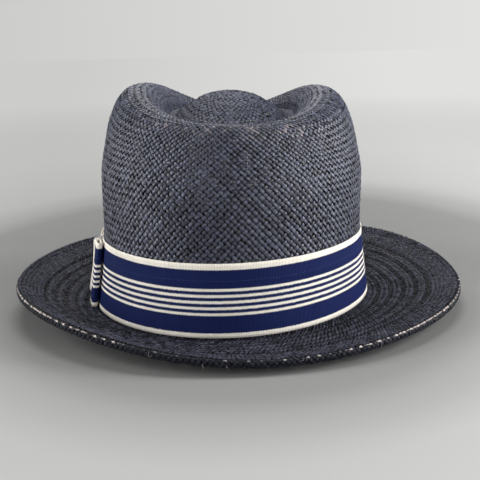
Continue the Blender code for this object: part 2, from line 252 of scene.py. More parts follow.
def ring_knots():
    """Spacing of the control rings for the spline through them, from the side of the hat."""
    side = control_rings(np.zeros(1))[0]
    steps = np.sqrt(np.linalg.norm(np.diff(side, axis=0), axis=1))
    return np.concatenate([[0.0], np.cumsum(steps)])


KNOTS = ring_knots()
LAST_LEVEL = len(KNOTS) - 1


def straw_surface(angle, level):
    """The straw's upper and outer surface, at an angle round the hat and a level from the rim (0) inwards."""
    angle, level = np.broadcast_arrays(np.asarray(angle, float), np.asarray(level, float))
    rings = control_rings(angle)
    low = np.clip(np.floor(level).astype(int), 0, LAST_LEVEL - 1)
    share = level - low

    def ring(index):
        return np.take_along_axis(rings, np.clip(index, 0, LAST_LEVEL)[..., None, None], -2)[..., 0, :]

    def knot(index):
        return KNOTS[np.clip(index, 0, LAST_LEVEL)][..., None]

    def tangent(index):
        before, after = np.maximum(index - 1, 0), np.minimum(index + 1, LAST_LEVEL)
        return (ring(after) - ring(before)) / (knot(after) - knot(before))

    step = knot(low + 1) - knot(low)
    t = share[..., None]
    point = ((1 + 2 * t) * (1 - t) ** 2 * ring(low) + t * (1 - t) ** 2 * step * tangent(low)
             + t * t * (3 - 2 * t) * ring(low + 1) - t * t * (1 - t) * step * tangent(low + 1))
    point[..., 2] += CROWN_TILT * smooth_step(level, *TOP_LEVELS) * point[..., 0]
    for side in (-1, 1):
        turn = np.angle(np.exp(1j * (angle + math.pi / 2 - side * PINCH_ANGLE)))
        push = PINCH_DEPTH * bell(turn, 0, PINCH_SPREAD) * bell(level, PINCH_LEVEL, PINCH_LEVEL_SPREAD)
        point[..., 0] -= push * np.cos(angle)
        point[..., 1] -= push * np.sin(angle)
    return point


def outward(angle):
    """Level direction away from the crown at an angle round it."""
    return unit(np.stack([np.cos(angle) * FOOT_HALF_LENGTH, np.sin(angle) * FOOT_HALF_WIDTH, 0 * angle], -1))


def wall_point(angle, share, depth):
    """Place by the crown's wall: share runs up the ribbon's width, depth is how far out from the straw."""
    angle, share, depth = np.broadcast_arrays(angle, share, depth)
    return straw_surface(angle, RIBBON_FOOT + np.clip(share, 0, None)) + outward(angle) * depth[..., None]


def lining_point(angle, height, depth):
    """Place by the sweatband's outer face at a height above the ground, depth inwards from it."""
    angle, height, depth = np.broadcast_arrays(angle, height, depth)
    foot = wall_point(angle, 0.0, 0.0)
    head = wall_point(angle, 0.8, 0.0)
    share = (height - foot[..., 2]) / (head[..., 2] - foot[..., 2])
    inset = STRAW_THICKNESS + CLEARANCE + depth
    return foot + (head - foot) * share[..., None] - outward(angle) * inset[..., None]


# ------------------------------ meshes

def mesh_object(name, points, faces, finish, uvs=None, values=None):
    """An object from arrays: faces holds arrays of (face, corner), and uvs a place for each face corner."""
    mesh = bpy.data.meshes.new(name)
    corners = np.concatenate([block.ravel() for block in faces]).astype(np.int32)
    sizes = np.concatenate([np.full(len(block), block.shape[1]) for block in faces])
    starts = np.concatenate([[0], np.cumsum(sizes)[:-1]]).astype(np.int32)
    mesh.vertices.add(len(points))
    mesh.vertices.foreach_set("co", points.astype(np.float32).ravel())
    mesh.loops.add(len(corners))
    mesh.loops.foreach_set("vertex_index", corners)
    mesh.polygons.add(len(starts))
    mesh.polygons.foreach_set("loop_start", starts)
    mesh.update(calc_edges=True)
    for label, uv in (uvs or {}).items():
        layer = mesh.uv_layers.new(name=label)
        layer.data.foreach_set("uv", uv.astype(np.float32).ravel())
    for label, value in (values or {}).items():
        layer = mesh.attributes.new(label, "FLOAT", "POINT")
        layer.data.foreach_set("value", value.astype(np.float32).ravel())
    mesh.validate()
    mesh.shade_smooth()
    mesh.materials.append(finish)
    item = bpy.data.objects.new(name, mesh)
    bpy.context.scene.collection.objects.link(item)
    return item


ATLAS_MARGIN = 0.06


def four_corners(left, right, low, high):
    """The two coordinates of each quad's corners, in the order of the quad's own corners."""
    left, right, low, high = np.broadcast_arrays(left, right, low, high)
    return np.stack([np.stack([left, low], -1), np.stack([left, high], -1),
                     np.stack([right, high], -1), np.stack([right, low], -1)], -2)


def tube_object(name, points, finish, along, around=None, values=None, caps=(False, False), closed=False,
                atlas_rows=None):
    """Tubes from points laid out as (tube, ring, side, xyz), whose sides turn anticlockwise along the tube.

    along, of the shape (tube, ring), and around, of the shape (side + 1), are what the map named cloth holds.
    """
    tubes, rings, sides = points.shape[:3]
    around = np.linspace(0, 1, sides + 1) if around is None else around
    segments = rings if closed else rings - 1
    tube = np.arange(tubes)[:, None, None]
    ring = np.arange(segments)[None, :, None]
    side = np.arange(sides)[None, None, :]

    def vertex(ring_index, side_index):
        return (tube * rings + ring_index % rings) * sides + side_index % sides

    quads = np.stack([vertex(ring, side), vertex(ring, side + 1),
                      vertex(ring + 1, side + 1), vertex(ring + 1, side)], -1)

    # the atlas lays every segment of every tube end to end, in rows
    cells = tubes * segments
    length = np.linalg.norm(points[:, 1:] - points[:, :-1], axis=-1).mean()
    girth = np.linalg.norm(points - np.roll(points, 1, axis=2), axis=-1).mean() * sides
    per_row = math.ceil(cells / atlas_rows if atlas_rows else math.sqrt(cells * girth / length))
    rows = math.ceil(cells / per_row)
    column, row = (tube * segments + ring) % per_row, (tube * segments + ring) // per_row
    inside = 1 - 2 * ATLAS_MARGIN
    maps = {"OFBake": four_corners(column / per_row, (column + 1) / per_row,
                                   (row + ATLAS_MARGIN + inside * side / sides) / rows,
                                   (row + ATLAS_MARGIN + inside * (side + 1) / sides) / rows),
            "cloth": four_corners(along[:, :segments, None], along[:, 1:segments + 1, None],
                                  around[:-1], around[1:])}
    faces = [quads.reshape(-1, 4)]
    uvs = {label: [corner.reshape(-1, 2)] for label, corner in maps.items()}
    if caps[0]:
        faces.append(vertex(0, side)[:, 0, ::-1])
        for label, corner in maps.items():
            uvs[label].append(corner[:, 0, ::-1, 0].reshape(-1, 2))
    if caps[1]:
        faces.append(vertex(rings - 1, side)[:, 0])
        for label, corner in maps.items():
            uvs[label].append(corner[:, -1, :, 3].reshape(-1, 2))
    uvs = {label: np.concatenate(blocks) for label, blocks in uvs.items()}
    return mesh_object(name, points.reshape(-1, 3), faces, finish, uvs, values)


def strip_object(name, middle, thickness, finish, widths, closed=False, ribs=0.0, atlas_rows=3):
    """A strip of cloth or leather, from its middle surface laid out as (row, column, xyz).

    widths holds each row's place across the cloth, from 0 to 1, and ribs how far each other column is raised.
    """
    if closed:
        lengthwise = unit(np.roll(middle, -1, axis=1) - np.roll(middle, 1, axis=1))
    else:
        lengthwise = unit(np.gradient(middle, axis=1))
    normal = unit(np.cross(lengthwise, unit(np.gradient(middle, axis=0))))
    columns = middle.shape[1]
    rib = ribs * (np.arange(columns) % 2)[None, :, None]
    front = middle + normal * (thickness / 2 + rib)
    back = middle - normal * (thickness / 2 + rib)
    section = np.concatenate([front[::-1], back], axis=0)
    points = section.transpose(1, 0, 2)[None]
    centre = middle[len(middle) // 2]
    if closed:
        centre = np.concatenate([centre, centre[:1]])
    around = np.concatenate([widths[::-1], widths, widths[-1:]])
    return tube_object(name, points, finish, run_along(centre)[None] / MM, around,
                       caps=(not closed, not closed), closed=closed, atlas_rows=atlas_rows)


def wander(random, shape, every):
    """Smooth random values from -1 to 1 along the last axis, with a new one every so many places."""
    count, length = shape
    knots = random.uniform(-1, 1, (count, length // every + 3))
    place = np.arange(length) / every + random.random((count, 1))
    low = place.astype(int)
    share = place - low
    share = share * share * (3 - 2 * share)
    line = np.arange(count)[:, None]
    return knots[line, low] * (1 - share) + knots[line, low + 1] * share


# ------------------------------ materials

def set_ramp(ramp, shades):
    """Set a new colour ramp's stops, whose first two are its ends."""
    for number, (place, colour) in enumerate(shades):
        stop = ramp.elements[number] if number < 2 else ramp.elements.new(place)
        stop.position = place
        stop.color = (*colour, 1)


class Nodes:
    """The nodes of one material, with its principled shader."""

    def __init__(self, name, **constants):
        self.material = bpy.data.materials.new(name)
        self.material.use_nodes = True
        self.tree = self.material.node_tree
        self.shader = self.tree.nodes["Principled BSDF"]
        for label, value in constants.items():
            self.shader.inputs[label.replace("_", " ")].default_value = value

    def add(self, kind, **settings):
        node = self.tree.nodes.new("ShaderNode" + kind)
        for label, value in settings.items():
            setattr(node, label, value)
        return node

    def put(self, value, socket):
        if isinstance(value, bpy.types.NodeSocket):
            self.tree.links.new(value, socket)
        elif isinstance(value, tuple) and len(value) == 3 and socket.type == "RGBA":
            socket.default_value = (*value, 1)
        else:
            socket.default_value = value

    def to_shader(self, label, value):
        self.put(value, self.shader.inputs[label])

    def math(self, operation, *values):
        node = self.add("Math", operation=operation)
        for socket, value in zip(node.inputs, values):
            self.put(value, socket)
        return node.outputs[0]

    def plus(self, first, second):
        return self.math("ADD", first, second)

    def minus(self, first, second):
        return self.math("SUBTRACT", first, second)

    def times(self, first, second):
        return self.math("MULTIPLY", first, second)

    def mix(self, share, first, second, blend="MIX"):
        node = self.add("Mix", data_type="RGBA", blend_type=blend)
        self.put(share, node.inputs["Factor"])
        self.put(first, node.inputs[6])
        self.put(second, node.inputs[7])
        return node.outputs[2]

    def range(self, value, low, high, start=0.0, end=1.0):
        node = self.add("MapRange")
        for label, item in zip(("Value", "From Min", "From Max", "To Min", "To Max"),
                               (value, low, high, start, end)):
            self.put(item, node.inputs[label])
        return node.outputs[0]

    def value(self, label):
        return self.add("Attribute", attribute_name=label).outputs["Fac"]

    def cloth(self):
        """Length along the cloth or strand in mm, and place across it."""
        split = self.add("SeparateXYZ")
        self.put(self.add("UVMap", uv_map="cloth").outputs[0], split.inputs[0])
        return split.outputs[0], split.outputs[1]

    def place(self):
        return self.add("TexCoord").outputs["Object"]

    def vector(self, x, y, z=0.0):
        node = self.add("CombineXYZ")
        for socket, value in zip(node.inputs, (x, y, z)):
            self.put(value, socket)
        return node.outputs[0]

    def noise(self, vector, scale, detail=2.0, roughness=0.5):
        node = self.add("TexNoise")
        values = {"Vector": vector, "Scale": scale, "Detail": detail, "Roughness": roughness}
        for label, value in values.items():
            self.put(value, node.inputs[label])
        return node.outputs["Fac"]

    def streaks(self, per_mm, per_width, detail=2.0, roughness=0.5):
        """Noise laid along the cloth or strand, with so many spots in a mm of it and in its width."""
        along, across = self.cloth()
        place = self.vector(self.times(along, per_mm), self.times(across, per_width))
        return self.noise(place, 1.0, detail, roughness)

    def bump(self, height, distance, strength):
        node = self.add("Bump")
        for label, value in zip(("Height", "Distance", "Strength"), (height, distance, strength)):
            self.put(value, node.inputs[label])
        self.to_shader("Normal", node.outputs[0])


def straw_finish(name, dark, light, crevice_shade_colour, roughness, gloss, worn=(0.30, 0.235, 0.21)):
    """Dyed straw: each strand has its own tone, fibres along it, and painted shade where it dives under and
    along its edges and underside.
    """
    nodes = Nodes(name, Specular_IOR_Level=gloss)
    fibres = nodes.streaks(0.30, 4.0, 3.0, 0.7)
    blotches = nodes.noise(nodes.place(), 55.0, 3.0, 0.6)
    tone = nodes.plus(nodes.times(nodes.value("tone"), 0.65),
                      nodes.plus(nodes.times(fibres, 0.75), nodes.times(blotches, 0.25)))
    colour = nodes.mix(nodes.range(tone, 0.55, 1.15), dark, light)
    # painted shade: the strand is painted towards the crevice colour where its lift is low, where it dives
    # under and on its edges and underside
    painted_crevice_shade = nodes.range(nodes.value("lift"), 0.75, 0.15, 0.0, 1.0)
    colour = nodes.mix(painted_crevice_shade, colour, crevice_shade_colour)
    bare = nodes.plus(nodes.value("worn"), nodes.times(nodes.streaks(0.9, 2.2), 0.5))
    pale = nodes.mix(blotches, worn, tuple(1.3 * value for value in worn))
    nodes.to_shader("Base Color", nodes.mix(nodes.range(bare, 0.78, 0.98), colour, pale))
    nodes.to_shader("Roughness", nodes.range(fibres, 0.3, 0.7, roughness - 0.08, roughness + 0.12))
    nodes.bump(fibres, 0.00015, 0.9)
    return nodes.material


# Places across the ribbon are shares of its width
STRIPES = (0.335, 0.414, 0.492, 0.570, 0.648)
STRIPE_HALF_WIDTH = 0.0175
CREASE_SHARE = 0.766           # where a crease runs along the ribbon, with a painted highlight along it
CREASE_STRAY = 0.04
RAGGED_RIBS = 0.0052           # how far the stripes' edges jut out with each rib, and stray besides
RAGGED_THREADS = 0.016
RIB_PITCH = 0.9                # mm
NAVY = (0.0035, 0.0085, 0.052)


def ribbon_finish(name, lower_edge, upper_edge, stripes, half_width):
    """Grosgrain: cream edges and stripes on navy, each a little ragged from rib to rib, with painted shade in
    the grooves between the ribs and a painted highlight along a crease.
    """
    nodes = Nodes(name, Roughness=0.7, Specular_IOR_Level=0.10)
    along, across = nodes.cloth()
    rib = nodes.math("SINE", nodes.times(along, math.tau / RIB_PITCH))
    loose = nodes.streaks(1.2, 9.0)
    ragged = nodes.plus(nodes.times(rib, RAGGED_RIBS), nodes.times(nodes.minus(loose, 0.5), RAGGED_THREADS))
    ramp = nodes.add("ValToRGB")
    ramp.color_ramp.interpolation = "CONSTANT"
    edges = [lower_edge] + [middle + side * half_width for middle in stripes for side in (-1, 1)]
    bands = [(place, 3 * (number % 2,)) for number, place in enumerate(edges)]
    set_ramp(ramp.color_ramp, [(0.0, (1, 1, 1)), (1 - upper_edge, (1, 1, 1))] + bands)
    nodes.put(nodes.plus(across, ragged), ramp.inputs[0])
    threads = nodes.streaks(2.5, 150.0)
    blue = nodes.mix(threads, NAVY, tuple(value * 1.9 for value in NAVY))
    cream = nodes.mix(threads, (0.90, 0.83, 0.71), (0.97, 0.93, 0.85))
    soil = nodes.noise(nodes.place(), 90.0, 4.0, 0.6)
    cream = nodes.mix(nodes.range(soil, 0.55, 0.8, 0.0, 0.35), cream, (0.55, 0.46, 0.34))
    # painted highlight: a pale, broken line along the crease
    strays = nodes.times(nodes.minus(nodes.streaks(0.02, 0.0), 0.5), CREASE_STRAY)
    crease = nodes.math("ABSOLUTE", nodes.minus(nodes.plus(across, strays), CREASE_SHARE))
    painted_crease_highlight = nodes.times(nodes.range(crease, 0.003, 0.008, 0.7, 0.0), nodes.range(loose, 0.45, 0.65))
    blue = nodes.mix(painted_crease_highlight, blue, (0.045, 0.065, 0.16))
    colour = nodes.mix(ramp.outputs[0], blue, cream)
    # painted shade: darker in the grooves between the ribs
    groove = nodes.range(rib, -1.0, -0.2, 0.34, 0.0)
    nodes.to_shader("Base Color", nodes.mix(groove, colour, (0.01, 0.012, 0.03)))
    nodes.bump(nodes.plus(nodes.times(rib, 0.5), nodes.times(threads, 0.35)), 0.00016, 0.8)
    return nodes.material


def leather_finish():
    nodes = Nodes("leather", Specular_IOR_Level=0.4)
    place = nodes.place()
    cells = nodes.add("TexVoronoi", feature="DISTANCE_TO_EDGE")
    nodes.put(place, cells.inputs["Vector"])
    nodes.put(1100.0, cells.inputs["Scale"])
    grain = nodes.range(cells.outputs["Distance"], 0.0, 0.35)
    tone = nodes.noise(place, 45.0, 5.0, 0.6)
    colour = nodes.mix(tone, (0.030, 0.014, 0.008), (0.085, 0.042, 0.022))
    between = nodes.range(grain, 0.0, 1.0, 0.5, 0.0)
    nodes.to_shader("Base Color", nodes.mix(between, colour, (0.012, 0.006, 0.004)))
    nodes.to_shader("Roughness", nodes.range(tone, 0.3, 0.7, 0.38, 0.58))
    nodes.bump(grain, 0.00012, 0.7)
    return nodes.material


def thread_finish(name, dark, light, pitch, roughness=0.7, sheen=0.2):
    """Twisted thread or woven tape: fine slanting ridges, with painted shade in the hollows between them."""
    nodes = Nodes(name, Roughness=roughness, Sheen_Weight=sheen, Specular_IOR_Level=0.3)
    along, across = nodes.cloth()
    slant = nodes.plus(nodes.times(along, math.tau / pitch), nodes.times(across, 9.0))
    ridge = nodes.math("SINE", slant)
    fluff = nodes.noise(nodes.place(), 400.0)
    # painted shade: the colour is darker in the hollows between the ridges
    tone = nodes.plus(nodes.range(ridge, -1.0, 1.0, 0.0, 0.6), nodes.times(fluff, 0.4))
    nodes.to_shader("Base Color", nodes.mix(tone, dark, light))
    nodes.bump(ridge, 0.00008, 0.8)
    return nodes.material


# the crevice colours below are painted shade for the hollows of the weave
CROWN_DARK, CROWN_CREVICE_SHADE = (0.010, 0.012, 0.026), (0.0008, 0.0008, 0.002)
WALL_STRAW = straw_finish("straw_wall", CROWN_DARK, (0.068, 0.075, 0.125), CROWN_CREVICE_SHADE,
                          roughness=0.34, gloss=0.6)
# painted shade: the top's straw has a darker pale tone than the wall's, to hold down how lit the top of the
# crown looks
SHADED_TOP_STRAW = straw_finish("straw_top_painted_darker", CROWN_DARK, (0.056, 0.062, 0.104), CROWN_CREVICE_SHADE,
                         roughness=0.46, gloss=0.3)
BRIM_STRAW = straw_finish("straw_brim", (0.004, 0.005, 0.009), (0.064, 0.066, 0.098),
                          (0.0003, 0.0003, 0.0006), roughness=0.48, gloss=0.15)
RIM_STRAW = straw_finish("straw_rim", (0.003, 0.004, 0.008), (0.024, 0.026, 0.040),
                         (0.0005, 0.0005, 0.001), roughness=0.46, gloss=0.2, worn=(0.50, 0.44, 0.41))
RIBBON = ribbon_finish("ribbon", 0.073, 0.088, STRIPES, STRIPE_HALF_WIDTH)
KNOT_RIBBON = ribbon_finish("knot_ribbon", 0.19, 0.19, (0.36, 0.45, 0.55, 0.64), 0.020)
LEATHER = leather_finish()
THREAD = thread_finish("thread", (0.45, 0.40, 0.32), (0.78, 0.73, 0.63), 0.9)
TAPE = thread_finish("tape", (0.012, 0.012, 0.016), (0.055, 0.055, 0.065), 0.8)
LINING_RIBBON = thread_finish("lining_ribbon", (0.008, 0.012, 0.045), (0.020, 0.028, 0.090), 0.45, 0.38, 0.4)

# ------------------------------ straw

STRAND_STEPS = 3               # lengths of tube from one crossing to the next
# A strand's section: place across it, and height, as shares of its half width and thickness
STRAND_SECTION = np.array([(1.0, -0.20), (0.68, 0.36), (-0.68, 0.36), (-1.0, -0.20), (0.0, -0.5)])
MIDDLE_DEPTH = 0.45 * MM       # how far the middle of the weave lies inside the straw's outer surface
END_SINK = 0.5 * MM            # how far a zone's ends tuck in under the next zone


def strand_family(surface, count, start, end, turn, random, thickness=0.36 * MM, height=0.34 * MM, fill=0.82,
                  sink=(END_SINK, END_SINK), crispness=2.1, tilt=0.22, slack=0.07, bias=None, shade=None):
    """One of the two families of strands of a plain weave, as tubes.

    surface(angle, woven) is the cloth, and strand i lies where angle = 2 pi / count (i + turn * woven), so
    that the two families, with turn 1 and -1, cross each half step of woven. slack is how far strands stray,
    bias(angle) how much longer one family's floats are than the other's, and shade(woven) how much of the
    strands' lift the cloth keeps, which deepens the painted shade. Returns the points, each one's lift (0 to
    1), which the finish turns into painted shade where the strand dives under and on its edges and underside,
    its tone, and its length along the strand in mm.
    """
    rings = round((end - start) * 2 * STRAND_STEPS) + 1
    woven = np.linspace(start, end, rings) + np.zeros((count, 1))
    spacing = math.tau / count
    angle = spacing * (np.arange(count)[:, None] + turn * woven)
    angle += spacing * slack * wander(random, (count, rings), 2 * STRAND_STEPS)
    place = woven + slack * wander(random, (count, rings), 2 * STRAND_STEPS)
    turn_step, weave_step = 0.02 * spacing, 0.02
    around = (surface(angle + turn_step, place) - surface(angle - turn_step, place)) / (2 * turn_step)
    inward = (surface(angle, place + weave_step) - surface(angle, place - weave_step)) / (2 * weave_step)
    normal = unit(np.cross(around, inward))
    lengthwise = unit(turn * spacing * around + inward)
    sideways = unit(np.cross(normal, lengthwise))
    pitch = np.linalg.norm(np.cross(spacing * around, lengthwise), axis=-1)

    phase = woven + (0 if turn > 0 else 0.5)
    longer = 0 if bias is None else turn * bias(angle)
    wave = np.tanh(crispness * (np.cos(math.tau * phase) + longer)) / math.tanh(crispness)
    number = np.floor(phase + 0.5).astype(int)
    number -= number.min()
    strand, floats = np.arange(count)[:, None], (count, number.max() + 1)
    float_tone = random.random(floats)[strand, number]
    float_tilt = random.uniform(-tilt, tilt, floats)[strand, number]
    float_height = random.uniform(0.65, 1.2, floats)[strand, number]
    strand_tone = random.random((count, 1))
    width = fill * random.uniform(0.86, 1.08, (count, 1)) * (1 + 0.09 * wander(random, (count, rings), 5))
    half = pitch / 2 * width * (0.95 + 0.05 * wave)
    raised = height * wave * np.where(wave > 0, float_height, 1)
    for depth, inside in zip(sink, (woven - start, end - woven)):
        raised = raised - depth * (1 - smooth_step(inside, 0, 0.7))

    across, up = STRAND_SECTION[:, 0], STRAND_SECTION[:, 1]
    middle = surface(angle, place) - normal * MIDDLE_DEPTH
    offset_side = half[..., None] * across
    offset_up = raised[..., None] + thickness * up + offset_side * (float_tilt * (wave > 0))[..., None]
    points = (middle[..., None, :] + sideways[..., None, :] * offset_side[..., None]
              + normal[..., None, :] * offset_up[..., None])
    # painted shade: lift is low where a strand dives under and on its edges and underside, and the finish
    # paints it darker there
    lift = np.clip(0.5 + 0.5 * wave[..., None] + 1.4 * (up - 0.36), 0, 1)
    if shade is not None:
        lift = lift * shade(woven)[..., None]
    tone = 0.55 * strand_tone[..., None] + 0.45 * float_tone[..., None] + 0 * lift
    along = run_along(middle) / MM + 400 * random.random((count, 1))
    return points, lift, tone, along


USUAL_STRAND = (1.3, 0.35)     # half width and thickness in mm, to lay a strand's section out flat
SECTION_AROUND = run_along(np.concatenate([STRAND_SECTION, STRAND_SECTION[:1]]) * USUAL_STRAND)
PIECE_SEGMENTS = 19000         # the most lengths of tube in one piece


def no_wear(points, tone):
    return 0 * tone


def weave(name, finish, surface, count, start, end, seed, wear=no_wear, **style):
    """Both families of a woven zone, in pieces that hold a stretch each, cut where strands dive under."""
    random = np.random.default_rng(seed)
    families = [strand_family(surface, count, start, end, turn, random, **style) for turn in (1, -1)]
    rings = families[0][0].shape[1]
    parts = math.ceil(2 * count * (rings - 1) / PIECE_SEGMENTS)
    period = 2 * STRAND_STEPS
    pieces = []
    for part in range(parts):
        label = name if parts == 1 else f"{name}_{part + 1}"
        for letter, family, phase in zip("ab", families, (STRAND_STEPS, 0)):
            cuts = [round((rings - 1) * cut / parts / period) * period + phase for cut in range(1, parts)]
            cuts = [0, *cuts, rings - 1]
            points, lift, tone, along = (block[:, cuts[part]:cuts[part + 1] + 1] for block in family)
            values = {"lift": lift.ravel(), "tone": tone.ravel(), "worn": wear(points, tone).ravel()}
            pieces.append(tube_object(f"{label}_{letter}", points, finish, along, SECTION_AROUND, values,
                                      caps=(part == 0, part == parts - 1)))
    return pieces


def woven_scale(count, outer, inner):
    """Levels from outer to inner, and the woven coordinate at each that makes strands run at 45 degrees."""
    level = np.linspace(outer, inner, 240)
    rings = straw_surface(full_turn(96), level[:, None])
    round_hat = np.linalg.norm(np.roll(rings, -1, axis=1) - rings, axis=-1).sum(1)
    inwards = np.linalg.norm(np.diff(rings, axis=0), axis=-1).mean(1)
    woven = np.concatenate([[0], np.cumsum(inwards * count / ((round_hat[1:] + round_hat[:-1]) / 2))])
    return level, woven * (round(2 * woven[-1]) / 2 / woven[-1])


def straw_zone(name, finish, count, outer, inner, seed, relief=None, painted_shade_by_level=None, lap=0.5, **style):
    """A zone of the hat's weave between two levels, which laps under the zones beside it."""
    level, woven = woven_scale(count, outer, inner)
    slopes = np.diff(level) / np.diff(woven)

    def level_at(place):
        at = np.interp(place, woven, level) + np.minimum(place, 0) * slopes[0]
        return np.clip(at + np.maximum(place - woven[-1], 0) * slopes[-1], BRIM_EDGE, LAST_LEVEL - 0.002)

    def surface(angle, place):
        point = straw_surface(angle, level_at(place))
        if relief is not None:
            point[..., 2] += relief(level_at(place))
        return point

    # painted shade by level, which scales the strands' lift
    if painted_shade_by_level is not None:
        style["shade"] = lambda place: painted_shade_by_level(level_at(place))
    return weave(name, finish, surface, count, -lap, woven[-1] + lap, seed, **style)


WALL_START = 5.70              # the wall's weave starts behind the ribbon, above the sweatband's top
WALL_COUNT = 136
CREASE_LEVEL = 12.4
TOP_ZONES = ((104, 13.15), (76, 13.85), (54, 14.50), (38, 15.02), (26, 15.42), (16, 15.70), (8, 15.88))
BRIM_FOOT = 5.12
BRIM_EDGE = -0.115             # the brim's weave runs on over the rim's top
GROOVE_REACHES = (8.0 * MM, 14.3 * MM, 20.5 * MM, 26.7 * MM, 32.6 * MM)
BRIM_COUNTS = (348, 292, 278, 262, 246, 226)    # strands each way, from the rim inwards
GROOVE_DEPTH = 0.75 * MM
GROOVE_HALF_WIDTH = 0.9 * MM
BAND_CROWN = 0.35 * MM         # how far each band of the brim bulges


def reach_levels():
    """Levels of the brim and how far out from the foot of the crown each is, at the hat's side."""
    level = np.linspace(RIBBON_FOOT, 0, 400)
    side = straw_surface(0.0, level)[:, 0]
    return level, side - side[0]


BRIM_LEVELS, BRIM_REACHES = reach_levels()


def in_groove(reach):
    """1 in the middle of a groove between the brim's bands, 0 between the grooves."""
    return sum(bell(reach, groove, GROOVE_HALF_WIDTH) for groove in GROOVE_REACHES)


def reach_at(level):
    return np.interp(-level, -BRIM_LEVELS, BRIM_REACHES)


def brim_painted_shade(level):
    """Painted shade: the grooves of the brim keep little of the strands' lift, so the finish paints them
    darker.
    """
    return 1 - 0.8 * in_groove(reach_at(level))


def brim_relief(level):
    """Height of the brim's woven bands: each bulges, with a groove between it and the next."""
    reach = reach_at(level)
    banded = smooth_step(reach, 3 * MM, 6 * MM) * (1 - smooth_step(reach, 32 * MM, 36 * MM))
    spacing = GROOVE_REACHES[1] - GROOVE_REACHES[0]
    bulge = 0.5 - 0.5 * np.cos(math.tau * (reach - GROOVE_REACHES[0]) / spacing)
    return BAND_CROWN * bulge * banded - GROOVE_DEPTH * in_groove(reach)


def ridge_wear(points, tone):
    """Bare spots on the crown's ridge, where the dye has rubbed off."""
    x, y, z = np.moveaxis(points, -1, 0)
    inset = np.hypot(x / FOOT_HALF_WIDTH, y / FOOT_HALF_LENGTH)
    on_ridge = smooth_step(inset, 0.74, 0.80) * (1 - smooth_step(inset, 0.83, 0.89)) * (z > 0.10)
    back = smooth_step(y, 0.02, 0.07)
    return on_ridge * (0.12 + 0.46 * back) * (tone > 0.68)


def wall_bias(angle):
    """At each side of the crown the strands that run down and away from its back lie uppermost."""
    return 0.18 * np.tanh(3 * np.cos(angle) - 0.3) - 0.14


def brim_bias(angle):
    return 0.75 + 0 * angle


def make_straw():
    zones = straw_zone("crown", WALL_STRAW, WALL_COUNT, WALL_START, CREASE_LEVEL, 1, wear=ridge_wear,
                       bias=wall_bias)
    outer = CREASE_LEVEL
    for number, (count, inner) in enumerate(TOP_ZONES):
        thin = min(1.0, 0.75 + count / 400)
        zones += straw_zone(f"crown_top_{number + 1}", SHADED_TOP_STRAW, count, outer, inner, 20 + number,
                            thickness=0.30 * MM * thin, height=0.24 * MM * thin, sink=(0.1 * MM, 0.35 * MM))
        outer = inner
    edges = [BRIM_EDGE, *np.interp(GROOVE_REACHES[::-1], BRIM_REACHES, BRIM_LEVELS), BRIM_FOOT]
    for number, (count, outer, inner) in enumerate(zip(BRIM_COUNTS, edges, edges[1:])):
        zones += straw_zone(f"brim_{number + 1}", BRIM_STRAW, count, outer, inner, 40 + number, brim_relief,
                            brim_painted_shade, lap=0.25 if number else 0.0, thickness=0.32 * MM, height=0.30 * MM,
                            fill=0.84, sink=(0.0, 0.0), tilt=0.34, slack=0.12,
                            bias=brim_bias if number else None)
    return zones


RIM_STRANDS = 4                # in each of the braid's two families
RIM_TURNS = 74
RIM_SHAPE = 0.75
RIM_INSET = (0.35 * MM, 0.15 * MM)      # of the strands' middles inside the rim's sides, and its top and foot
RIM_SHIFT = (0.45 * MM, 0.30 * MM)      # of the braid, outwards and down
RUBBED_PLACES = ((140, 30), (36, 28))   # angle round the rim, and how far either way, in degrees


def rim_surface(turn, woven):
    """The middle of the braid's strands: turn goes round the rim's section, woven along the rim."""
    place = woven * (math.tau / (RIM_STRANDS * RIM_TURNS))
    across, down = squared_circle(turn, RIM_SHAPE)
    reach = BRIM_WIDTH - RIM_WIDTH / 2 + RIM_SHIFT[0] + across * (RIM_WIDTH / 2 - RIM_INSET[0])
    height = RIM_PROUD - RIM_HEIGHT / 2 - RIM_SHIFT[1] - down * (RIM_HEIGHT / 2 - RIM_INSET[1])
    return foot_ring(reach, rim_height(place) + height, place)


def rim_wear(points, tone):
    """The dye has rubbed off along the rim's upper corner, most of all either side of its back."""
    x, y, z = np.moveaxis(points, -1, 0)
    x, y = x / (FOOT_HALF_WIDTH + BRIM_WIDTH), y / (FOOT_HALF_LENGTH + BRIM_WIDTH)
    angle = np.arctan2(y, x)
    above = (z - rim_height(angle) - RIM_PROUD) / MM
    corner = bell(above, -0.6, 0.9) * smooth_step(np.hypot(x, y), 0.989, 0.995)
    rubbed = sum(bell(np.degrees(angle), middle, spread) for middle, spread in RUBBED_PLACES)
    return corner * (0.36 + 0.42 * rubbed + 0.7 * (tone - 0.5))


def make_rim():
    return weave("rim", RIM_STRAW, rim_surface, RIM_STRANDS, 0, RIM_STRANDS * RIM_TURNS, 70, wear=rim_wear,
                 thickness=0.5 * MM, height=0.30 * MM, fill=0.96, sink=(0.0, 0.0), tilt=0.25, slack=0.05)


FRAYS = 26
FRAY_RADIUS = 0.13 * MM


